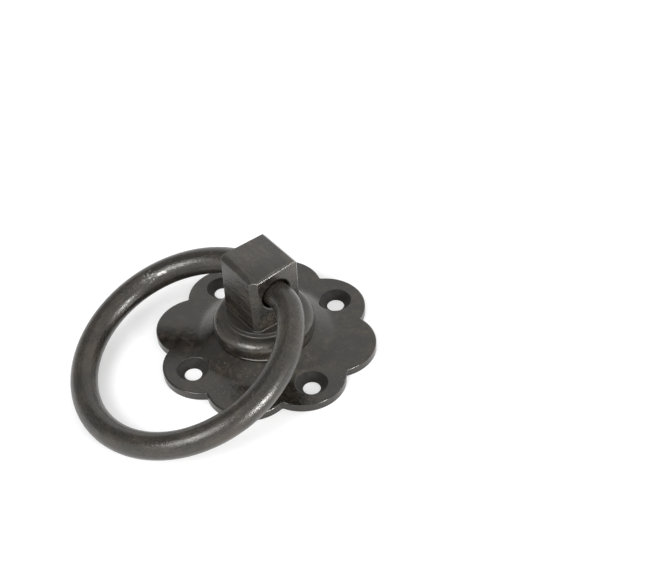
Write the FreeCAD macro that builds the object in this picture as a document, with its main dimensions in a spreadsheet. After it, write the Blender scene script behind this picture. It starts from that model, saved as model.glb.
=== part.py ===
import FreeCAD, Part
import os
import Sketcher

# Ring turn handle of a gate latch: pressed rose, turning head, pull ring, washer and clip.
# Row frame in millimetres: the rose's back lies on z = 0, the head turns about Z,
# the ring swings about an axis along X and lies towards -Y.

doc = FreeCAD.newDocument("ring_gate_latch_handle")
sheet = doc.addObject("Spreadsheet::Sheet", "sizes")

SIZES = [
    # Rose plate
    ("plate_thickness", 3.2, "sheet that the rose is pressed from"),
    ("rose_diameter", 84.4, "over the tips of the petals"),
    ("petal_count", 8, "petals round the rose"),
    ("petal_depth", 5.6, "from a tip's circle in to the valleys"),
    ("valley_round", 0.9, "radius in the valleys between the petals"),
    ("edge_round", 0.6, "worn radius round the upper edge"),
    ("rose_angle", 3.9, "turn of the rose behind the ring's swing axis"),
    ("dome_rise", 4.1, "rise of the pressed centre"),
    ("dome_run", 8.6, "width of the dome's slope"),
    ("dome_bend", 7.0, "inside radius of both bends in the sheet"),
    ("seat_inset", 1.0, "dome's shoulder inside the collar's edge"),
    ("fixing_edge", 10.5, "screw hole's centre in from a petal's tip"),
    ("fixing_hole", 6.6, "screw hole's diameter"),
    ("countersink", 12.2, "countersink's diameter at the face"),
    # Turning head
    ("head_width", 20.0, "block across its flats"),
    ("block_height", 24.9, "height of the flats, up to the level top"),
    ("corner_leg", 0.35, "turned corner left between two flats"),
    ("worn_leg_top", 2.3, "worn near corner, at the top"),
    ("worn_leg_foot", 1.8, "worn near corner, at the foot"),
    ("neck_height", 2.05, "round neck between collar and flats"),
    ("cove_round", 0.5, "cove at the neck's foot"),
    ("collar_step", 5.1, "collar past the neck, all round"),
    ("collar_height", 7.0, "collar's height"),
    ("rim_round", 3.2, "rounded upper rim of the collar"),
    ("base_round", 0.4, "broken lower edge of the collar"),
    ("hole_height", 14.1, "ring hole's axis above the foot of the flats"),
    ("hole_round", 0.6, "worn radius round the ring hole"),
    ("top_fall", 2.0, "drop of the filed top at the worn corner"),
    ("top_round", 60.0, "radius in which the top falls"),
    ("hang_bevel", 1.8, "filed bevel on the ring's side"),
    ("hang_bevel_end", 0.6, "same bevel at the worn corner"),
    ("back_bevel", 1.2, "filed bevel at the back"),
    ("side_bevel", 0.25, "broken edges on the other two sides"),
    ("shank_diameter", 16.0, "shank through the rose"),
    ("shank_clearance", 0.08, "shank in its hole, all round"),
    ("seat_clearance", 0.05, "collar over the rose"),
    ("end_play", 0.1, "washer under the rose"),
    ("socket_width", 8.2, "square socket for the spindle"),
    ("socket_depth", 19.0, "socket's depth from the shank's end"),
    # Washer and clip
    ("washer_diameter", 26.0, "thrust washer's outside"),
    ("washer_thickness", 1.5, "thrust washer"),
    ("clip_thickness", 1.0, "retaining clip"),
    ("clip_width", 2.2, "clip's band"),
    ("clip_gap", 3.0, "between the clip's ends"),
    ("clip_lug", 4.4, "lug's diameter at each end"),
    ("clip_eye", 1.7, "plier hole in each lug"),
    ("clip_lip", 1.0, "shank past the clip's groove"),
    ("groove_depth", 0.45, "clip's groove in the shank"),
    ("clip_clearance", 0.03, "clip in its groove, all round"),
    # Pull ring
    ("bar_diameter", 10.0, "round bar of the ring"),
    ("ring_diameter", 90.7, "ring's outside"),
    ("straight_depth", 3.0, "straight stretch inside the ring's round line"),
    ("bend_radius", 15.0, "bends at both ends of the straight stretch"),
    ("ring_play", 1.0, "bar in the head's hole, all round"),
    ("ring_slide", 1.8, "ring along the hole towards +X"),
    ("skew_gap", 0.4, "left free when the ring lies aslant in the hole"),
    ("rest_gap", 0.1, "under the ring where it comes to rest"),
]

for row, (alias, value, note) in enumerate(SIZES, start=1):
    sheet.set(f"A{row}", alias)
    sheet.set(f"B{row}", str(value))
    sheet.set(f"C{row}", note)
    sheet.setAlias(f"B{row}", alias)
doc.recompute()

# Rose: circles of its outline, and the slope of the pressed dome
VALLEY_DIAMETER = "(sizes.rose_diameter - 2 * sizes.petal_depth)"
PETAL_CENTRE = (
    f"((sizes.rose_diameter ^ 2 - {VALLEY_DIAMETER} ^ 2)"
    f" / (4 * (sizes.rose_diameter - {VALLEY_DIAMETER} * cos(180 / sizes.petal_count))))"
)
FIXING_RADIUS = "(sizes.rose_diameter / 2 - sizes.fixing_edge)"
LAND = "(sizes.plate_thickness - (sizes.countersink - sizes.fixing_hole) / 2)"
SEAT = "(sizes.plate_thickness + sizes.dome_rise)"
BEND_SHIFT = "(sizes.plate_thickness * tan(atan(sizes.dome_rise / sizes.dome_run) / 2))"

# Head: radii, and levels above the collar's base
HALF_WIDTH = "(sizes.head_width / 2)"
NECK = f"sqrt({HALF_WIDTH} ^ 2 + ({HALF_WIDTH} - sizes.corner_leg) ^ 2)"
COLLAR = f"({NECK} + sizes.collar_step)"
SHANK = "(sizes.shank_diameter / 2)"
SHANK_BORE = f"({SHANK} + sizes.shank_clearance)"
GROOVE = f"({SHANK} - sizes.groove_depth)"
BASE = f"({SEAT} + sizes.seat_clearance)"
FOOT = "(sizes.collar_height + sizes.neck_height)"
TOP = f"({FOOT} + sizes.block_height)"
WORN_CORNER = f"({TOP} - sizes.top_fall)"
FILE_REACH = "(sizes.block_height / 8)"
DIAGONAL = f"(sqrt(2) * {HALF_WIDTH})"
PIVOT = f"({FOOT} + sizes.hole_height)"
CLIP_UPPER = (
    "(sizes.seat_clearance + sizes.plate_thickness + sizes.end_play + sizes.washer_thickness)"
)
CLIP_LOWER = f"({CLIP_UPPER} + sizes.clip_thickness)"
SHANK_END = f"({CLIP_LOWER} + sizes.clip_lip)"

# Dome: flat seat under the collar and the foot of its slope
DOME_SEAT = f"({COLLAR} - sizes.seat_inset)"
DOME_FOOT = f"({DOME_SEAT} + sizes.dome_run)"

# Ring: bar's line, its slant in the hole and its tilt when it lies on the door
BAR = "(sizes.bar_diameter / 2)"
RING = "((sizes.ring_diameter - sizes.bar_diameter) / 2)"
STRAIGHT = f"({RING} - sizes.straight_depth)"
SLOPE = f"((sizes.ring_play - sizes.skew_gap) / {HALF_WIDTH})"
SKEW = f"atan({SLOPE})"
SKEW_SHARE = f"({SLOPE} ^ 2 / (1 + {SLOPE} ^ 2))"
DROP = f"({BASE} + {PIVOT} - {BAR} - sizes.rest_gap)"
REACH = (
    f"sqrt({DROP} ^ 2 * {STRAIGHT} ^ 2 - ({RING} ^ 2 * (1 - {SKEW_SHARE}) - {STRAIGHT} ^ 2)"
    f" * ({RING} ^ 2 * {SKEW_SHARE} - {DROP} ^ 2))"
)
TILT = f"asin(({DROP} ^ 2 - {RING} ^ 2 * {SKEW_SHARE}) / ({DROP} * {STRAIGHT} + {REACH}))"


def value(expression):
    """Present value of an expression on the sheet, as a plain number."""
    result = sheet.evalExpression(expression.replace("sizes.", ""))
    return float(getattr(result, "Value", result))


def near(first, second):
    return abs(first - second) < 1e-4


def origin(body, role):
    return [feature for feature in body.Origin.OriginFeatures if feature.Role == role][0]


def new_body(label):
    body = doc.addObject("PartDesign::Body", label)
    body.Label = label
    return body


def new_sketch(body, name, role, height=None):
    """Empty sketch on an origin plane, or at a height above it."""
    sketch = body.newObject("Sketcher::SketchObject", name)
    sketch.AttachmentSupport = [(origin(body, role), "")]
    sketch.MapMode = "FlatFace"
    if height:
        sketch.setExpression("AttachmentOffset.Base.z", height)
    return sketch


def bind(sketch, constraint, expression):
    index = sketch.addConstraint(constraint)
    sketch.setExpression(f"Constraints[{index}]", expression)


def locate(sketch, axis, geometry, place, expression):
    """Dimension a point from the origin along one axis of its sketch."""
    if expression == "0":
        line = -2 if axis == "X" else -1
        sketch.addConstraint(Sketcher.Constraint("PointOnObject", geometry, place, line))
        return
    ends = (-1, 1, geometry, place)
    if expression.startswith("-"):
        ends = (geometry, place, -1, 1)
        expression = expression[1:]
    bind(sketch, Sketcher.Constraint("Distance" + axis, *ends, value(expression)), expression)


def polygon(sketch, corners):
    """Closed outline through corners given as pairs of expressions."""
    points = [FreeCAD.Vector(value(across), value(up), 0) for across, up in corners]
    count = len(points)
    for index in range(count):
        sketch.addGeometry(Part.LineSegment(points[index], points[(index + 1) % count]))
    for index in range(count):
        sketch.addConstraint(Sketcher.Constraint("Coincident", index, 2, (index + 1) % count, 1))
    for index, (across, up) in enumerate(corners):
        if index and across == corners[index - 1][0]:
            sketch.addConstraint(Sketcher.Constraint("Vertical", index - 1))
        else:
            locate(sketch, "X", index, 1, across)
        if index and up == corners[index - 1][1]:
            sketch.addConstraint(Sketcher.Constraint("Horizontal", index - 1))
        else:
            locate(sketch, "Y", index, 1, up)


def circle(sketch, radius, across="0", up="0"):
    middle = FreeCAD.Vector(value(across), value(up), 0)
    index = sketch.addGeometry(
        Part.Circle(middle, FreeCAD.Vector(0, 0, 1), value(radius))
    )
    locate(sketch, "X", index, 3, across)
    locate(sketch, "Y", index, 3, up)
    bind(sketch, Sketcher.Constraint("Radius", index, value(radius)), radius)


def square(sketch, width):
    """Square of a given width round the sketch's origin."""
    half = value(width) / 2
    corners = [(-half, -half), (half, -half), (half, half), (-half, half)]
    first = sketch.GeometryCount
    points = [FreeCAD.Vector(across, up, 0) for across, up in corners]
    for index in range(4):
        sketch.addGeometry(Part.LineSegment(points[index], points[(index + 1) % 4]))
    for index in range(4):
        after = first + (index + 1) % 4
        sketch.addConstraint(Sketcher.Constraint("Coincident", first + index, 2, after, 1))
    for index, kind in enumerate(("Horizontal", "Vertical", "Horizontal", "Vertical")):
        sketch.addConstraint(Sketcher.Constraint(kind, first + index))
    sketch.addConstraint(Sketcher.Constraint("Symmetric", first, 1, first + 1, 2, -1, 1))
    sketch.addConstraint(Sketcher.Constraint("Equal", first, first + 1))
    bind(sketch, Sketcher.Constraint("DistanceX", first, 1, first, 2, value(width)), width)


def feature(body, kind, name, sketch, **properties):
    """Feature made from a sketch; its volume must differ from the one before."""
    before = body.Shape.Volume if body.Tip else 0.0
    made = body.newObject("PartDesign::" + kind, name)
    made.Profile = sketch
    for key, setting in properties.items():
        if isinstance(setting, str) and key in ("Length", "Angle"):
            made.setExpression(key, setting)
        else:
            setattr(made, key, setting)
    doc.recompute()
    if near(made.Shape.Volume, before):
        raise RuntimeError(name + " changes nothing")
    return made


def revolve(body, kind, name, sketch, axis="V_Axis"):
    return feature(body, kind, name, sketch, ReferenceAxis=(sketch, [axis]), Angle="360")


def polar(body, name, original, step, count):
    """Copies of a feature round the body's Z axis."""
    pattern = body.newObject("PartDesign::PolarPattern", name)
    pattern.Originals = [original]
    pattern.Axis = (origin(body, "Z_Axis"), [""])
    pattern.Mode = "Spacing"
    pattern.setExpression("Offset", step)
    pattern.setExpression("Occurrences", count)
    body.Tip = pattern
    doc.recompute()
    return pattern


def mirror(body, name, original, role):
    copy = body.newObject("PartDesign::Mirrored", name)
    copy.Originals = [original]
    copy.MirrorPlane = (origin(body, role), [""])
    body.Tip = copy
    doc.recompute()
    return copy


def fillet(body, name, radius, wanted):
    """Round the edges of the present shape for which a test holds."""
    last = body.Tip
    edges = [
        f"Edge{index}"
        for index, edge in enumerate(last.Shape.Edges, start=1)
        if wanted(edge)
    ]
    if not edges:
        raise RuntimeError(name + " finds no edge")
    rounding = body.newObject("PartDesign::Fillet", name)
    rounding.Base = (last, edges)
    rounding.setExpression("Radius", radius)
    doc.recompute()
    return rounding


def is_hoop(radius, height):
    """Test for a circle round Z of a given radius and height."""
    wanted_radius = value(radius)
    wanted_height = value(height)

    def test(edge):
        if not isinstance(edge.Curve, Part.Circle):
            return False
        middle = edge.Curve.Center
        on_axis = near(middle.x, 0) and near(middle.y, 0)
        return on_axis and near(middle.z, wanted_height) and near(edge.Curve.Radius, wanted_radius)

    return test


def put(body, height, turn=None, axis=(0, 0, 1)):
    """Height of a body above the back of the rose, and its turn about an axis."""
    body.Placement = FreeCAD.Placement(FreeCAD.Vector(), FreeCAD.Rotation(FreeCAD.Vector(*axis), 1))
    body.setExpression("Placement.Base.z", height)
    body.setExpression("Placement.Rotation.Angle", turn or "0")


# Rose plate: overlapping round petals, pressed dome with an even wall, screw holes
rose = new_body("rose_plate")
petal_line = new_sketch(rose, "petal_line", "XY_Plane")
circle(petal_line, f"sizes.rose_diameter / 2 - {PETAL_CENTRE}", PETAL_CENTRE)
petal = feature(rose, "Pad", "petal", petal_line, Length="sizes.plate_thickness")
polar(rose, "petals", petal, "360 / sizes.petal_count", "sizes.petal_count")

valley_radius = value(VALLEY_DIAMETER) / 2
fillet(
    rose,
    "valleys",
    "sizes.valley_round",
    lambda edge: isinstance(edge.Curve, Part.Line)
    and near(edge.Vertexes[0].Point.x, edge.Vertexes[-1].Point.x)
    and near(edge.Vertexes[0].Point.y, edge.Vertexes[-1].Point.y)
    and near((edge.Vertexes[0].Point.x ** 2 + edge.Vertexes[0].Point.y ** 2) ** 0.5, valley_radius),
)

face_height = value("sizes.plate_thickness")
dome_limit = value(DOME_FOOT)
fillet(
    rose,
    "worn_edge",
    "sizes.edge_round",
    lambda edge: all(near(vertex.Point.z, face_height) for vertex in edge.Vertexes)
    and all((vertex.Point.x ** 2 + vertex.Point.y ** 2) ** 0.5 > dome_limit for vertex in edge.Vertexes),
)

dome_line = new_sketch(rose, "dome_line", "XZ_Plane")
polygon(
    dome_line,
    [
        ("0", "0"),
        (DOME_FOOT, "0"),
        (DOME_FOOT, "sizes.plate_thickness"),
        (DOME_SEAT, SEAT),
        ("0", SEAT),
    ],
)
revolve(rose, "Revolution", "dome", dome_line)

hollow_line = new_sketch(rose, "hollow_line", "XZ_Plane")
polygon(
    hollow_line,
    [
        ("0", "0"),
        (f"{DOME_FOOT} - {BEND_SHIFT}", "0"),
        (f"{DOME_SEAT} - {BEND_SHIFT}", "sizes.dome_rise"),
        ("0", "sizes.dome_rise"),
    ],
)
revolve(rose, "Groove", "hollow", hollow_line)

bore_line = new_sketch(rose, "bore_line", "XY_Plane")
circle(bore_line, SHANK_BORE)
feature(rose, "Pocket", "shank_bore", bore_line, Type="ThroughAll", Reversed=True)

OUTER_BEND = "sizes.dome_bend + sizes.plate_thickness"
fillet(rose, "shoulder_outside", OUTER_BEND, is_hoop(DOME_SEAT, SEAT))
fillet(rose, "shoulder_inside", "sizes.dome_bend", is_hoop(f"{DOME_SEAT} - {BEND_SHIFT}", "sizes.dome_rise"))
fillet(rose, "foot_inside", "sizes.dome_bend", is_hoop(DOME_FOOT, "sizes.plate_thickness"))
fillet(rose, "foot_outside", OUTER_BEND, is_hoop(f"{DOME_FOOT} - {BEND_SHIFT}", "0"))

screw_line = new_sketch(rose, "screw_line", "XZ_Plane")
polygon(
    screw_line,
    [
        (FIXING_RADIUS, "0"),
        (f"{FIXING_RADIUS} + sizes.fixing_hole / 2", "0"),
        (f"{FIXING_RADIUS} + sizes.fixing_hole / 2", LAND),
        (f"{FIXING_RADIUS} + sizes.fixing_hole / 2 + {SEAT} - {LAND}", SEAT),
        (FIXING_RADIUS, SEAT),
    ],
)
screw_hole = revolve(rose, "Groove", "screw_hole", screw_line, "Edge5")
polar(rose, "screw_holes", screw_hole, "720 / sizes.petal_count", "floor(sizes.petal_count / 2)")
put(rose, "0", "sizes.rose_angle", (0, 0, -1))

# Turning head: turned collar, neck and shank, four flats, filed top, holes
head = new_body("turning_head")
turned_line = new_sketch(head, "turned_line", "XZ_Plane")
polygon(
    turned_line,
    [
        ("0", "-" + SHANK_END),
        (SHANK, "-" + SHANK_END),
        (SHANK, "0"),
        (COLLAR, "0"),
        (COLLAR, "sizes.collar_height"),
        (NECK, "sizes.collar_height"),
        (NECK, TOP),
        ("0", TOP),
    ],
)
revolve(head, "Revolution", "turned", turned_line)
fillet(head, "rim", "sizes.rim_round", is_hoop(COLLAR, "sizes.collar_height"))
fillet(head, "cove", "sizes.cove_round", is_hoop(NECK, "sizes.collar_height"))
fillet(head, "base_edge", "sizes.base_round", is_hoop(COLLAR, "0"))

flats_line = new_sketch(head, "flats_line", "XY_Plane", FOOT)
square(flats_line, "sizes.head_width")
circle(flats_line, f"2 * {NECK}")
feature(head, "Pocket", "flats", flats_line, Length="sizes.block_height", Reversed=True)

# Filed top: level behind, falling in an arc along the block's diagonal to the worn corner
top_line = new_sketch(head, "top_line", "XZ_Plane")
top_line.AttachmentOffset = FreeCAD.Placement(
    FreeCAD.Vector(), FreeCAD.Rotation(FreeCAD.Vector(0, -1, 0), 45)
)
level_end = FreeCAD.Vector(0, value(TOP), 0)
worn_end = FreeCAD.Vector(value(DIAGONAL), value(WORN_CORNER), 0)
above = FreeCAD.Vector(0, value(FILE_REACH), 0)
high_end = FreeCAD.Vector(worn_end.x, level_end.y, 0) + above
outline = [worn_end, high_end, level_end + above, level_end]
for start, end in zip(outline, outline[1:]):
    top_line.addGeometry(Part.LineSegment(start, end))
top_radius = value("sizes.top_round")
half_chord = (worn_end - level_end).Length / 2
crown = FreeCAD.Vector(level_end.y - worn_end.y, worn_end.x, 0).normalize()
crown = crown * (top_radius - (top_radius ** 2 - half_chord ** 2) ** 0.5)
top_line.addGeometry(Part.ArcOfCircle(worn_end, (worn_end + level_end) * 0.5 + crown, level_end))
for first, first_end, second, second_end in ((0, 2, 1, 1), (1, 2, 2, 1), (2, 2, 3, 2), (3, 1, 0, 1)):
    top_line.addConstraint(Sketcher.Constraint("Coincident", first, first_end, second, second_end))
top_line.addConstraint(Sketcher.Constraint("Vertical", 0))
top_line.addConstraint(Sketcher.Constraint("Horizontal", 1))
locate(top_line, "X", 0, 1, DIAGONAL)
locate(top_line, "Y", 0, 1, WORN_CORNER)
locate(top_line, "Y", 1, 1, f"{TOP} + {FILE_REACH}")
locate(top_line, "X", 2, 1, "0")
locate(top_line, "X", 2, 2, "0")
locate(top_line, "Y", 2, 2, TOP)
bind(top_line, Sketcher.Constraint("Radius", 3, top_radius), "sizes.top_round")
feature(head, "Pocket", "filed_top", top_line, Type="ThroughAll", SideType="Symmetric")


def filed(name, outlines):
    """Cut between two outlines, one at each end of a filed face."""
    return feature(head, "SubtractiveLoft", name, outlines[0], Sections=[outlines[1]], Ruled=True)


def filed_bevel(name, role, side, legs, levels):
    """Bevel along one upper edge of the block, from its leg and the edge's height at each end."""
    outlines = []
    for end, leg, level in zip(("first", "last"), legs, levels):
        height = HALF_WIDTH if end == "last" else f"-{HALF_WIDTH}"
        outline = new_sketch(head, f"{name}_{end}", role, height)
        polygon(
            outline,
            [
                (side + HALF_WIDTH, f"{level} - {leg}"),
                (side + HALF_WIDTH, f"{level} + {FILE_REACH}"),
                (side + f"({HALF_WIDTH} - {leg} - {FILE_REACH})", f"{level} + {FILE_REACH}"),
            ],
        )
        outlines.append(outline)
    filed(name, outlines)


filed_bevel("hang", "YZ_Plane", "-", ("sizes.hang_bevel", "sizes.hang_bevel_end"), (TOP, WORN_CORNER))
filed_bevel("back", "YZ_Plane", "", ("sizes.back_bevel", "sizes.back_bevel"), (TOP, TOP))
filed_bevel("right", "XZ_Plane", "", ("sizes.side_bevel", "sizes.side_bevel"), (TOP, WORN_CORNER))
filed_bevel("left", "XZ_Plane", "-", ("sizes.side_bevel", "sizes.side_bevel"), (TOP, TOP))

worn_outlines = []
for place, level, leg in (("foot", FOOT, "sizes.worn_leg_foot"), ("top", TOP, "sizes.worn_leg_top")):
    worn_outline = new_sketch(head, f"worn_{place}", "XY_Plane", level)
    polygon(
        worn_outline,
        [
            (HALF_WIDTH, f"-{HALF_WIDTH}"),
            (HALF_WIDTH, f"-({HALF_WIDTH} - {leg})"),
            (f"{HALF_WIDTH} - {leg}", f"-{HALF_WIDTH}"),
        ],
    )
    worn_outlines.append(worn_outline)
filed("worn_corner", worn_outlines)

hole_line = new_sketch(head, "hole_line", "YZ_Plane")
circle(hole_line, f"{BAR} + sizes.ring_play", "0", PIVOT)
feature(head, "Pocket", "ring_hole", hole_line, Type="ThroughAll", SideType="Symmetric")

half_width = value(HALF_WIDTH)
hole_radius = value(f"{BAR} + sizes.ring_play")
fillet(
    head,
    "hole_edges",
    "sizes.hole_round",
    lambda edge: isinstance(edge.Curve, Part.Circle)
    and near(edge.Curve.Radius, hole_radius)
    and near(abs(edge.Curve.Center.x), half_width),
)

socket_line = new_sketch(head, "socket_line", "XY_Plane", "-" + SHANK_END)
square(socket_line, "sizes.socket_width")
feature(head, "Pocket", "spindle_socket", socket_line, Length="sizes.socket_depth", Reversed=True)

groove_line = new_sketch(head, "groove_line", "XZ_Plane")
polygon(
    groove_line,
    [
        (GROOVE, "-" + CLIP_LOWER),
        (SHANK, "-" + CLIP_LOWER),
        (SHANK, "-" + CLIP_UPPER),
        (GROOVE, "-" + CLIP_UPPER),
    ],
)
revolve(head, "Groove", "clip_groove", groove_line)
put(head, BASE)

# Thrust washer under the dome
washer = new_body("thrust_washer")
washer_line = new_sketch(washer, "washer_line", "XY_Plane")
circle(washer_line, "sizes.washer_diameter / 2")
circle(washer_line, SHANK_BORE)
feature(washer, "Pad", "disc", washer_line, Length="sizes.washer_thickness")
put(washer, "sizes.dome_rise - sizes.end_play - sizes.washer_thickness")

# Retaining clip in the shank's groove: open band with an eyed lug at each end
clip = new_body("retaining_circlip")
band_line = new_sketch(clip, "band_line", "XY_Plane")
circle(band_line, f"{GROOVE} + sizes.clip_clearance + sizes.clip_width")
circle(band_line, f"{GROOVE} + sizes.clip_clearance")
feature(clip, "Pad", "band", band_line, Length="sizes.clip_thickness")

LUG_ACROSS = "((sizes.clip_gap + sizes.clip_lug) / 2)"
LUG_OUT = f"({GROOVE} + sizes.clip_lug / 2)"
lug_line = new_sketch(clip, "lug_line", "XY_Plane")
circle(lug_line, "sizes.clip_lug / 2", LUG_ACROSS, "-" + LUG_OUT)
lug = feature(clip, "Pad", "lug", lug_line, Length="sizes.clip_thickness")
mirror(clip, "lugs", lug, "YZ_Plane")

opening_line = new_sketch(clip, "opening_line", "XY_Plane")
polygon(
    opening_line,
    [
        ("-sizes.clip_gap / 2", "0"),
        ("sizes.clip_gap / 2", "0"),
        ("sizes.clip_gap / 2", f"-({LUG_OUT} + sizes.clip_lug)"),
        ("-sizes.clip_gap / 2", f"-({LUG_OUT} + sizes.clip_lug)"),
    ],
)
feature(clip, "Pocket", "opening", opening_line, Type="ThroughAll", Reversed=True)

eye_line = new_sketch(clip, "eye_line", "XY_Plane")
circle(eye_line, "sizes.clip_eye / 2", LUG_ACROSS, "-" + LUG_OUT)
eye = feature(clip, "Pocket", "eye", eye_line, Type="ThroughAll", Reversed=True)
mirror(clip, "eyes", eye, "YZ_Plane")
put(clip, "sizes.dome_rise - sizes.end_play - sizes.washer_thickness - sizes.clip_thickness")

# Pull ring: round bar swept along a ring line with a straight stretch through the head
ring = new_body("pull_ring")
ring_line = new_sketch(ring, "ring_line", "XY_Plane")
ring_line.AttachmentOffset = FreeCAD.Placement(
    FreeCAD.Vector(), FreeCAD.Rotation(FreeCAD.Vector(0, -1, 0), 1)
)
ring_line.setExpression("AttachmentOffset.Rotation.Angle", SKEW)
ring_line.setExpression("AttachmentOffset.Base.x", f"sizes.ring_slide * cos({SKEW})")
ring_line.setExpression("AttachmentOffset.Base.z", f"sizes.ring_slide * sin({SKEW})")
ring_radius = value(RING)
straight = value(STRAIGHT)
bend = value("sizes.bend_radius")
half_run = ((ring_radius - bend) ** 2 - (straight - bend) ** 2) ** 0.5
upward = FreeCAD.Vector(0, 0, 1)
right_bend = Part.Circle(FreeCAD.Vector(half_run, -bend, 0), upward, bend)
left_bend = Part.Circle(FreeCAD.Vector(-half_run, -bend, 0), upward, bend)
round_line = Part.Circle(FreeCAD.Vector(0, -straight, 0), upward, ring_radius)
join = FreeCAD.Vector(half_run, straight - bend, 0)
join_angle = join.getAngle(FreeCAD.Vector(1, 0, 0))
quarter = FreeCAD.Units.parseQuantity("90 deg").getValueAs("rad").Value
ring_line.addGeometry(
    Part.LineSegment(FreeCAD.Vector(-half_run, 0, 0), FreeCAD.Vector(half_run, 0, 0))
)
ring_line.addGeometry(Part.ArcOfCircle(right_bend, join_angle, quarter))
ring_line.addGeometry(Part.ArcOfCircle(round_line, 2 * quarter - join_angle, 4 * quarter + join_angle))
ring_line.addGeometry(Part.ArcOfCircle(left_bend, quarter, 2 * quarter - join_angle))
for first, first_end, second, second_end in ((0, 2, 1, 2), (1, 1, 2, 2), (2, 1, 3, 2), (3, 1, 0, 1)):
    ring_line.addConstraint(Sketcher.Constraint("Tangent", first, first_end, second, second_end))
ring_line.addConstraint(Sketcher.Constraint("Symmetric", 0, 1, 0, 2, -2))
ring_line.addConstraint(Sketcher.Constraint("PointOnObject", 0, 2, -1))
locate(ring_line, "X", 2, 3, "0")
locate(ring_line, "Y", 2, 3, "-" + STRAIGHT)
bind(ring_line, Sketcher.Constraint("Radius", 2, ring_radius), RING)
bind(ring_line, Sketcher.Constraint("Radius", 1, bend), "sizes.bend_radius")

bar_line = new_sketch(ring, "bar_line", "YZ_Plane")
bar_line.AttachmentOffset = FreeCAD.Placement(
    FreeCAD.Vector(), FreeCAD.Rotation(FreeCAD.Vector(-1, 0, 0), 1)
)
bar_line.setExpression("AttachmentOffset.Rotation.Angle", SKEW)
circle(bar_line, BAR)
doc.recompute()
feature(ring, "AdditivePipe", "bar", bar_line, Spine=(ring_line, []))
put(ring, f"{BASE} + {PIVOT}", TILT, (1, 0, 0))

# Every feature must stand, and every piece must be one sound solid
doc.recompute()
bodies = [rose, head, washer, clip, ring]
for item in doc.Objects:
    if "Invalid" in item.State or "Error" in item.State:
        raise RuntimeError(item.Name + " failed")
for body in bodies:
    if body.Shape.isNull() or not body.Shape.isValid() or len(body.Shape.Solids) != 1:
        raise RuntimeError(body.Label + " isn't one sound solid")

os.makedirs("parts", exist_ok=True)
for body in bodies:
    body.Shape.exportStep(f"parts/{body.Label}.step")
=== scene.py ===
import math

import bpy
from mathutils import Matrix, Vector

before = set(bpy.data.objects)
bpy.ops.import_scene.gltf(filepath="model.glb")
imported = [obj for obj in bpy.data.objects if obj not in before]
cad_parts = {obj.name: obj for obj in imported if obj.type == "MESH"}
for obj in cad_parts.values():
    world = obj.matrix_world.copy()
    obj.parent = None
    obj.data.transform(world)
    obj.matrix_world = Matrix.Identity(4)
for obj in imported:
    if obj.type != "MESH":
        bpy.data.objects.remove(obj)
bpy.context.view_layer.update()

# Camera: place from the rose's centre in metres, turn in degrees, lens in millimetres
VIEW_AZIMUTH = 54.5
VIEW_ELEVATION = 42.51
VIEW_ROLL = 3.146
CAMERA_PLACE = Vector((0.37475, -0.23530, 0.426716))
CAMERA_NEAR = 0.01
LENS = 87.95

# White table: sizes in metres, and the white that it adds for the camera and in reflections
WHITE = (1, 1, 1, 1)
TABLE_COLOUR = (0.75, 0.75, 0.75, 1)
TABLE_ROUGHNESS = 0.9
TABLE_GLOSS = 0.1
TABLE_REACH = 3.0
TABLE_DROP = 0.00005
TABLE_LIFT = 0.3

# Light of the room and of its darker side, with the dark side's place and edges in degrees
HORIZON_LIGHT = 1.3
ZENITH_LIGHT = 0.8
DARK_SIDE = 0.42
DARK_SIDE_ANGLE = -66
DARK_SIDE_RISE = 36
DARK_SIDE_OUTER = 43
DARK_SIDE_INNER = 28

# Softboxes in front of the handle, in degrees, metres and watts
SOFTBOX_AIM = (0, -0.03, 0.01)
SOFTBOX_DISTANCE = 1.0
SOFTBOXES = {
    "left_softbox": {"angle": -142, "elevation": 43, "width": 0.44, "height": 0.4, "power": 5.4},
    "right_softbox": {"angle": 134, "elevation": 14, "width": 0.28, "height": 0.2, "power": 7.4},
}

# Screw holes of the rose, whose countersinks get painted shade, in millimetres and degrees
SCREW_CIRCLE = 31.7
SCREW_TURN = 3.9
COUNTERSINK = 6.1
COUNTERSINK_EDGE = (COUNTERSINK - 0.2, COUNTERSINK + 0.1)

# Where the head's iron is rubbed and lit: edge wear with a painted highlight on the top edge, painted shade
# on the neck and a painted highlight on the collar's foot; each pair is a span in millimetres over which a
# mark comes or goes
TOP_EDGE = (36.5, 38.5)
TOP_EDGE_BACK = (3.0, 7.0)
FRONT_CORNER = (15.5, 17.5)
BACK_CORNER = (8.0, 9.5)
BACK_CORNER_HEIGHT = (26.0, 33.0)
HOLE_SIDE = (5.0, 9.5)
WEAR_AND_HIGHLIGHT_BELOW_TOP = 0.02
WEAR_AND_HIGHLIGHT_AT_BACK = 0.3
WEAR_AND_HIGHLIGHT_AT_FRONT_CORNER = 0.5
WEAR_AND_HIGHLIGHT_OFF_HOLE_SIDE = 0.2
NECK_BOTTOM = (13.9, 14.4)
NECK_TOP = (16.6, 17.2)
NECK_PAINTED_SHADE = 0.25
FOOT_HEIGHT = (7.9, 8.3)
FOOT_FRONT = (25.2, 26.6)
FOOT_HIGHLIGHT = 0.7

# Ring's plane and the marks on its bar, in millimetres and degrees
RING_CENTRE = (1.8, -36.67, 18.28)
RING_HINGE = (-0.9833, 0.1819, 0)
RING_TILT = 19.226
RING_RADIUS = 40.0
SCRATCH_ALONG = -80.2
SCRATCH_OUT = 37.5
SCRATCH_LENGTH = (1.4, 2.6)
SCRATCH_WIDTH = (0.2, 0.6)
SCRATCH_HEIGHT = (1.0, 2.0)
SCRATCH_SHINE = 0.7
SPECKLES = (-34.6, -26.6, 23.6)
SPECKLES_REACH = (1.0, 4.0)
SPECKLES_SHINE = 0.45

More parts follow.
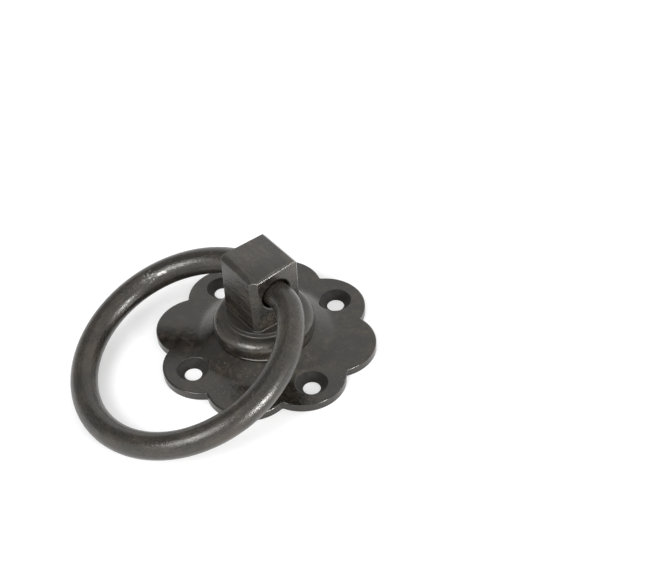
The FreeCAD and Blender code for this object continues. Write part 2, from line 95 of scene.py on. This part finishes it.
# Colours of the iron, the warm cast of its wax and the colours of the plain steel
IRON = {
    "deep": (0.007, 0.006, 0.005, 1),
    "dark": (0.012, 0.0097, 0.0073, 1),
    "brown": (0.038, 0.0287, 0.0185, 1),
    "worn": (0.55, 0.53, 0.50, 1),
}
WAX_TINT = (1.0, 0.975, 0.94, 1)
STEEL = {"dull": (0.30, 0.30, 0.29, 1), "bright": (0.42, 0.42, 0.41, 1)}
STEEL_MOTTLE = 1.2
STEEL_STEP = (0.3, 0.7)
STEEL_ROUGHNESS = (0.3, 0.42)

# Marks of the iron: size in millimetres, kind of noise, and the noise levels where a mark starts and is full
MARKS = {
    "mottle": {"size": 9.0, "detail": 5, "rough": 0.6, "warp": 0.8, "step": (0.38, 0.66)},
    "cloud": {"size": 2.2, "detail": 6, "rough": 0.65, "warp": 0.4, "step": (0.35, 0.7)},
    "wear": {"size": 4.0, "detail": 3, "step": (0.25, 0.5)},
    "fleck": {"size": 0.5, "detail": 2, "step": (0.66, 0.74)},
    "fleck_patch": {"size": 12.0, "detail": 2, "step": (0.5, 0.62)},
    "grit": {"size": 0.45, "detail": 2, "step": (0.48, 0.66)},
    "scratch": {"size": 1.2, "detail": 3, "step": (0.35, 0.5)},
    "speckle": {"size": 0.8, "detail": 4, "rough": 0.6, "warp": 0.6, "step": (0.54, 0.62)},
}

# Relief of the iron: sizes in millimetres, heights in metres
DENT_SIZE = 1.3
PIT_SIZE = 0.35
LINE_SIZE = 0.45
RELIEF_NOISE = {"detail": 3, "rough": 0.6}
DENTS_TO_PITS = 2.5
RELIEF_STRENGTH = 0.3
RELIEF_HEIGHT = 0.0001

# Strength of the iron's marks, turn of the normal on a worn edge, and width to length of the grain's lines
FLECK_SHINE = 0.3
BARE_METAL = 0.5
SMOOTHER = 0.05
ROUGHER = 0.07
PAINTED_SHADE_ROUGHER = 0.75
WORN_TURN = (0.02, 0.14)
GRAIN = 0.12

MILLIMETRES = 1000


def view_turn():
    """Camera's axes from its azimuth, elevation and roll."""
    azimuth = math.radians(VIEW_AZIMUTH)
    elevation = math.radians(VIEW_ELEVATION)
    back = Vector(
        (
            math.sin(azimuth) * math.cos(elevation),
            -math.cos(azimuth) * math.cos(elevation),
            math.sin(elevation),
        )
    )
    level = Vector((math.cos(azimuth), math.sin(azimuth), 0))
    upright = back.cross(level)
    roll = math.radians(VIEW_ROLL)
    right = math.cos(roll) * level - math.sin(roll) * upright
    up = math.sin(roll) * level + math.cos(roll) * upright
    return Matrix((right, up, back)).transposed()


def add_camera():
    data = bpy.data.cameras.new("camera")
    data.lens = LENS
    data.clip_start = CAMERA_NEAR
    camera = bpy.data.objects.new("camera", data)
    camera.matrix_world = Matrix.Translation(CAMERA_PLACE) @ view_turn().to_4x4()
    bpy.context.scene.collection.objects.link(camera)
    bpy.context.scene.camera = camera


class Nodes:
    """Short way to build a material's node tree."""

    def __init__(self, name):
        self.material = bpy.data.materials.new(name)
        self.material.use_nodes = True
        self.tree = self.material.node_tree
        self.shader = self.tree.nodes["Principled BSDF"]

    def add(self, kind, **settings):
        node = self.tree.nodes.new("ShaderNode" + kind)
        for key, setting in settings.items():
            setattr(node, key, setting)
        return node

    def link(self, source, target):
        self.tree.links.new(source, target)

    def place(self):
        """Place on the piece itself, in millimetres."""
        coordinates = self.add("TexCoord")
        scale = self.add("VectorMath", operation="SCALE")
        scale.inputs["Scale"].default_value = MILLIMETRES
        self.link(coordinates.outputs["Object"], scale.inputs[0])
        return scale.outputs[0]

    def axes(self, place):
        """The three numbers of a place."""
        split = self.add("SeparateXYZ")
        self.link(place, split.inputs[0])
        return [split.outputs[axis] for axis in "XYZ"]

    def noise(self, place, size, detail=4, rough=0.55, warp=0.0):
        """Noise whose spots are about size millimetres wide."""
        node = self.add("TexNoise")
        node.inputs["Scale"].default_value = 1 / size
        node.inputs["Detail"].default_value = detail
        node.inputs["Roughness"].default_value = rough
        node.inputs["Distortion"].default_value = warp
        self.link(place, node.inputs["Vector"])
        return node.outputs["Fac"]

    def ramp(self, value, low, high, bottom=0.0, top=1.0):
        """Soft step from bottom at low to top at high."""
        node = self.add("MapRange", interpolation_type="SMOOTHSTEP")
        node.inputs["From Min"].default_value = low
        node.inputs["From Max"].default_value = high
        node.inputs["To Min"].default_value = bottom
        node.inputs["To Max"].default_value = top
        self.link(value, node.inputs["Value"])
        return node.outputs["Result"]

    def mark(self, place, kind, top=1.0):
        """Spots of one of the iron's marks, from nothing to top."""
        noise = dict(MARKS[kind])
        step = noise.pop("step")
        return self.ramp(self.noise(place, **noise), *step, 0.0, top)

    def math(self, operation, first, second=0.0):
        node = self.add("Math", operation=operation)
        for socket, value in zip(node.inputs, (first, second)):
            if isinstance(value, (int, float)):
                socket.default_value = value
            else:
                self.link(value, socket)
        return node.outputs["Value"]

    def product(self, first, *others):
        for other in others:
            first = self.math("MULTIPLY", first, other)
        return first

    def length(self, first, second):
        """Length of the step with the two given sides."""
        squares = [self.math("MULTIPLY", side, side) for side in (first, second)]
        return self.math("SQRT", self.math("ADD", *squares))

    def distance(self, value, mark):
        """How far a number is from a mark, to either side."""
        return self.math("ABSOLUTE", self.math("SUBTRACT", value, mark))

    def mix(self, factor, first, second):
        node = self.add("Mix", data_type="RGBA")
        self.link(factor, node.inputs["Factor"])
        for socket, value in ((node.inputs["A"], first), (node.inputs["B"], second)):
            if isinstance(value, tuple):
                socket.default_value = value
            else:
                self.link(value, socket)
        return node.outputs["Result"]

    def worn_edge(self, width):
        """How much a rounding of the given width turns the surface's normal, and that normal."""
        rounded = self.add("Bevel", samples=8)
        rounded.inputs["Radius"].default_value = width / MILLIMETRES
        plain = self.add("NewGeometry")
        match = self.add("VectorMath", operation="DOT_PRODUCT")
        self.link(rounded.outputs["Normal"], match.inputs[0])
        self.link(plain.outputs["Normal"], match.inputs[1])
        return self.math("SUBTRACT", 1.0, match.outputs["Value"]), rounded.outputs["Normal"]


def in_countersinks(nodes, place):
    """One inside the rose's countersinks, where shade is painted, nothing elsewhere: all four are folded
    onto one.
    """
    turned = nodes.add("VectorRotate", rotation_type="Z_AXIS")
    turned.inputs["Angle"].default_value = math.radians(SCREW_TURN)
    nodes.link(place, turned.inputs["Vector"])
    folded = nodes.add("VectorMath", operation="ABSOLUTE")
    nodes.link(turned.outputs["Vector"], folded.inputs[0])
    x, y, _ = nodes.axes(folded.outputs[0])
    out = nodes.math("SUBTRACT", nodes.math("MAXIMUM", x, y), SCREW_CIRCLE)
    across = nodes.math("MINIMUM", x, y)
    return nodes.ramp(nodes.length(out, across), *COUNTERSINK_EDGE, 1.0, 0.0)


def block_wear_and_highlight(nodes, place):
    """One on the block's top edge over the ring's hole and on its back corner, little elsewhere: edge wear
    there, partly a painted highlight.
    """
    x, y, z = nodes.axes(place)
    forward = nodes.math("SUBTRACT", x, y)
    top = nodes.product(
        nodes.ramp(z, *TOP_EDGE, WEAR_AND_HIGHLIGHT_BELOW_TOP, 1.0),
        nodes.ramp(y, *TOP_EDGE_BACK, 1.0, WEAR_AND_HIGHLIGHT_AT_BACK),
        nodes.ramp(forward, *FRONT_CORNER, 1.0, WEAR_AND_HIGHLIGHT_AT_FRONT_CORNER),
    )
    corner = nodes.product(nodes.ramp(y, *BACK_CORNER), nodes.ramp(z, *BACK_CORNER_HEIGHT))
    hole_side = nodes.ramp(x, *HOLE_SIDE, WEAR_AND_HIGHLIGHT_OFF_HOLE_SIDE, 1.0)
    return nodes.product(nodes.math("MAXIMUM", top, corner), hole_side)


def on_neck(nodes, place):
    """Part of one on the round neck under the block, for painted shade in the crease there."""
    _, _, z = nodes.axes(place)
    return nodes.product(nodes.ramp(z, *NECK_BOTTOM, 0.0, NECK_PAINTED_SHADE), nodes.ramp(z, *NECK_TOP, 1.0, 0.0))


def foot_highlight(nodes, place):
    """Painted highlight on the front of the collar's foot: a bright line of plain iron where it meets the
    rose.
    """
    x, y, z = nodes.axes(place)
    forward = nodes.math("SUBTRACT", x, y)
    return nodes.product(nodes.ramp(z, *FOOT_HEIGHT, FOOT_HIGHLIGHT, 0.0), nodes.ramp(forward, *FOOT_FRONT))


def on_bar(nodes, place):
    """Place on the ring's bar: along it, out from the ring's centre and above the ring's plane."""
    offset = nodes.add("VectorMath", operation="SUBTRACT")
    offset.inputs[1].default_value = RING_CENTRE
    nodes.link(place, offset.inputs[0])
    level = nodes.add("VectorRotate", rotation_type="AXIS_ANGLE")
    level.inputs["Axis"].default_value = RING_HINGE
    level.inputs["Angle"].default_value = math.radians(RING_TILT)
    nodes.link(offset.outputs[0], level.inputs["Vector"])
    x, y, z = nodes.axes(level.outputs["Vector"])
    turn = nodes.math("ARCTAN2", x, nodes.math("MULTIPLY", y, -1.0))
    spot = nodes.add("CombineXYZ")
    for socket, value in zip(spot.inputs, (nodes.product(turn, RING_RADIUS), nodes.length(x, y), z)):
        nodes.link(value, socket)
    return spot.outputs[0]


def on_scrape(nodes, place):
    """Most on a short bright scratch along the ring's upper left, less on the speckles beside it."""
    along, out, height = nodes.axes(on_bar(nodes, place))
    line = nodes.product(
        nodes.ramp(nodes.distance(along, SCRATCH_ALONG), *SCRATCH_LENGTH, 1.0, 0.0),
        nodes.ramp(nodes.distance(out, SCRATCH_OUT), *SCRATCH_WIDTH, 1.0, 0.0),
        nodes.ramp(height, *SCRATCH_HEIGHT),
        nodes.mark(place, "scratch", SCRATCH_SHINE),
    )
    away = nodes.add("VectorMath", operation="DISTANCE")
    away.inputs[1].default_value = SPECKLES
    nodes.link(place, away.inputs[0])
    patch = nodes.ramp(away.outputs["Value"], *SPECKLES_REACH, SPECKLES_SHINE, 0.0)
    return nodes.math("MAXIMUM", line, nodes.product(patch, nodes.mark(place, "speckle")))


def drawn_out(nodes, place):
    """Place drawn out along its first axis, for lines left by a file or by drawing the bar."""
    drawn = nodes.add("VectorMath", operation="MULTIPLY")
    drawn.inputs[1].default_value = (GRAIN, 1, 1)
    nodes.link(place, drawn.inputs[0])
    return drawn.outputs[0]


def along_bar(nodes, place):
    """Place drawn out along the ring's bar."""
    return drawn_out(nodes, on_bar(nodes, place))


def waxed_iron(
    name,
    gloss,
    roughness,
    body,
    relief,
    wear_width=0.3,
    wear_most=1.0,
    grit=0.0,
    worn_where=None,
    painted_shade_where=None,
    scratch_and_highlight=None,
    grain=None,
):
    """Dark waxed iron: brown and grey mottling, fine pits, flecks of plain iron and edges paler from wear,
    with painted shade and painted highlights where a piece asks for them.
    """
    nodes = Nodes(name)
    sockets = nodes.shader.inputs
    place = nodes.place()
    lines = grain(nodes, place) if grain else place

    # Wax: brown and dark clouds; painted shade, darker and duller, where a piece asks for it
    cloud = nodes.mark(lines, "cloud")
    colour = nodes.mix(nodes.mark(place, "mottle"), IRON["dark"], IRON["brown"])
    colour = nodes.mix(nodes.ramp(cloud, 0, 1, *body), IRON["deep"], colour)
    dullness = nodes.ramp(cloud, 0, 1, roughness - SMOOTHER, roughness + ROUGHER)
    # Painted shade: darker and rougher iron in recesses such as the countersinks and the neck
    if painted_shade_where:
        painted_shade = painted_shade_where(nodes, place)
        colour = nodes.mix(painted_shade, colour, IRON["deep"])
        dullness = nodes.math("ADD", dullness, nodes.product(painted_shade, PAINTED_SHADE_ROUGHER))

    # Bare iron: edges rubbed through the wax, flecks, fine grit and scratches, and painted highlights in
    # bright iron where a piece asks for them
    edge, rounded = nodes.worn_edge(wear_width)
    bare_and_highlight = nodes.product(nodes.ramp(edge, *WORN_TURN, 0.0, wear_most), nodes.mark(place, "wear"))
    if worn_where:
        bare_and_highlight = nodes.product(bare_and_highlight, worn_where(nodes, place))
    flecks = nodes.product(nodes.mark(place, "fleck"), nodes.mark(place, "fleck_patch"), FLECK_SHINE)
    bare_and_highlight = nodes.math("MAXIMUM", bare_and_highlight, flecks)
    bare_and_highlight = nodes.math("MAXIMUM", bare_and_highlight, nodes.mark(place, "grit", grit))
    if scratch_and_highlight:
        bare_and_highlight = nodes.math("MAXIMUM", bare_and_highlight, scratch_and_highlight(nodes, place))

    # Relief: dents, pits and the lines of the grain
    dents = nodes.product(nodes.noise(place, DENT_SIZE, **RELIEF_NOISE), DENTS_TO_PITS)
    height = nodes.math("ADD", nodes.noise(place, PIT_SIZE, **RELIEF_NOISE), dents)
    if grain:
        height = nodes.math("ADD", height, nodes.noise(lines, LINE_SIZE, **RELIEF_NOISE))
    bump = nodes.add("Bump")
    bump.inputs["Strength"].default_value = RELIEF_STRENGTH
    bump.inputs["Distance"].default_value = RELIEF_HEIGHT * relief
    nodes.link(height, bump.inputs["Height"])
    nodes.link(rounded, bump.inputs["Normal"])

    sockets["Specular IOR Level"].default_value = gloss
    sockets["Specular Tint"].default_value = WAX_TINT
    nodes.link(nodes.mix(bare_and_highlight, colour, IRON["worn"]), sockets["Base Color"])
    nodes.link(nodes.product(bare_and_highlight, BARE_METAL), sockets["Metallic"])
    nodes.link(dullness, sockets["Roughness"])
    nodes.link(bump.outputs["Normal"], sockets["Normal"])
    return nodes.material


def plain_steel():
    """Bare steel of the washer and clip, faintly mottled."""
    nodes = Nodes("plain_steel")
    mottle = nodes.noise(nodes.place(), STEEL_MOTTLE)
    nodes.link(nodes.mix(mottle, STEEL["dull"], STEEL["bright"]), nodes.shader.inputs["Base Color"])
    nodes.shader.inputs["Metallic"].default_value = 1.0
    nodes.link(nodes.ramp(mottle, *STEEL_STEP, *STEEL_ROUGHNESS), nodes.shader.inputs["Roughness"])
    return nodes.material


def dress(node, material):
    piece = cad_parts[node]
    piece.data.materials.clear()
    piece.data.materials.append(material)


def add_table():
    """Pale table that the camera and the iron's reflections see as white, with the handle's shadow."""
    bpy.ops.mesh.primitive_plane_add(size=2 * TABLE_REACH, location=(0, 0, -TABLE_DROP))
    table = bpy.context.object
    table.name = "table"
    nodes = Nodes("table")
    nodes.shader.inputs["Base Color"].default_value = TABLE_COLOUR
    nodes.shader.inputs["Roughness"].default_value = TABLE_ROUGHNESS
    nodes.shader.inputs["Specular IOR Level"].default_value = TABLE_GLOSS
    nodes.shader.inputs["Emission Color"].default_value = WHITE
    ray = nodes.add("LightPath").outputs
    mirrored = nodes.math("MAXIMUM", ray["Is Glossy Ray"], ray["Is Transmission Ray"])
    seen = nodes.math("MAXIMUM", ray["Is Camera Ray"], mirrored)
    nodes.link(nodes.product(seen, TABLE_LIFT), nodes.shader.inputs["Emission Strength"])
    table.data.materials.append(nodes.material)


def aside(angle, elevation, distance):
    """Place round the object, by its angle to the right of straight behind it, in degrees."""
    azimuth = math.radians(VIEW_AZIMUTH)
    behind = Vector((-math.sin(azimuth), math.cos(azimuth), 0))
    right = Vector((math.cos(azimuth), math.sin(azimuth), 0))
    turn = math.radians(angle)
    rise = math.radians(elevation)
    level = math.cos(turn) * behind + math.sin(turn) * right
    return distance * (math.cos(rise) * level + Vector((0, 0, math.sin(rise))))


def add_softbox(name, angle, elevation, width, height, power):
    data = bpy.data.lights.new(name, "AREA")
    data.shape = "RECTANGLE"
    data.size = width
    data.size_y = height
    data.energy = power
    light = bpy.data.objects.new(name, data)
    light.location = aside(angle, elevation, SOFTBOX_DISTANCE)
    light.rotation_euler = (light.location - Vector(SOFTBOX_AIM)).to_track_quat("Z", "Y").to_euler()
    bpy.context.scene.collection.objects.link(light)


def light_room():
    """Even white room, brighter towards the horizon and darker on one side."""
    world = bpy.data.worlds.new("room")
    world.use_nodes = True
    tree = world.node_tree
    sky = tree.nodes["Background"]
    sky.inputs["Color"].default_value = WHITE
    direction = tree.nodes.new("ShaderNodeTexCoord")
    parts = tree.nodes.new("ShaderNodeSeparateXYZ")
    fade = tree.nodes.new("ShaderNodeMapRange")
    fade.inputs["To Min"].default_value = HORIZON_LIGHT
    fade.inputs["To Max"].default_value = ZENITH_LIGHT
    tree.links.new(direction.outputs["Generated"], parts.inputs[0])
    tree.links.new(parts.outputs["Z"], fade.inputs["Value"])
    facing = tree.nodes.new("ShaderNodeVectorMath")
    facing.operation = "DOT_PRODUCT"
    facing.inputs[1].default_value = aside(DARK_SIDE_ANGLE, DARK_SIDE_RISE, 1)
    tree.links.new(direction.outputs["Generated"], facing.inputs[0])
    shade = tree.nodes.new("ShaderNodeMapRange")
    shade.interpolation_type = "SMOOTHSTEP"
    shade.inputs["From Min"].default_value = math.cos(math.radians(DARK_SIDE_OUTER))
    shade.inputs["From Max"].default_value = math.cos(math.radians(DARK_SIDE_INNER))
    shade.inputs["To Min"].default_value = 1.0
    shade.inputs["To Max"].default_value = DARK_SIDE
    tree.links.new(facing.outputs["Value"], shade.inputs["Value"])
    strength = tree.nodes.new("ShaderNodeMath")
    strength.operation = "MULTIPLY"
    tree.links.new(fade.outputs["Result"], strength.inputs[0])
    tree.links.new(shade.outputs["Result"], strength.inputs[1])
    tree.links.new(strength.outputs["Value"], sky.inputs["Strength"])
    bpy.context.scene.world = world


bpy.context.scene.view_settings.view_transform = "Standard"
add_camera()
add_table()
light_room()
for softbox, settings in SOFTBOXES.items():
    add_softbox(softbox, **settings)

rose_iron = waxed_iron(
    "rose_iron",
    gloss=0.74,
    roughness=0.15,
    body=(0.15, 0.9),
    relief=1.1,
    wear_most=0.2,
    # Painted shade: darker, duller iron inside the countersinks
    painted_shade_where=in_countersinks,
)
head_iron = waxed_iron(
    "head_iron",
    gloss=0.95,
    roughness=0.26,
    body=(0.25, 0.95),
    relief=1.3,
    wear_width=0.6,
    # Top edge and back corner: edge wear, partly a painted highlight
    worn_where=block_wear_and_highlight,
    # Painted shade: darker, duller iron on the neck
    painted_shade_where=on_neck,
    # Painted highlight: a bright line on the collar's foot
    scratch_and_highlight=foot_highlight,
    grain=drawn_out,
)
ring_iron = waxed_iron(
    "ring_iron",
    gloss=0.68,
    roughness=0.28,
    body=(0.35, 0.8),
    relief=1.3,
    grit=0.04,
    scratch_and_highlight=on_scrape,
    grain=along_bar,
)
steel = plain_steel()
dress("rose_plate", rose_iron)
dress("turning_head", head_iron)
dress("pull_ring", ring_iron)
dress("thrust_washer", steel)
dress("retaining_circlip", steel)
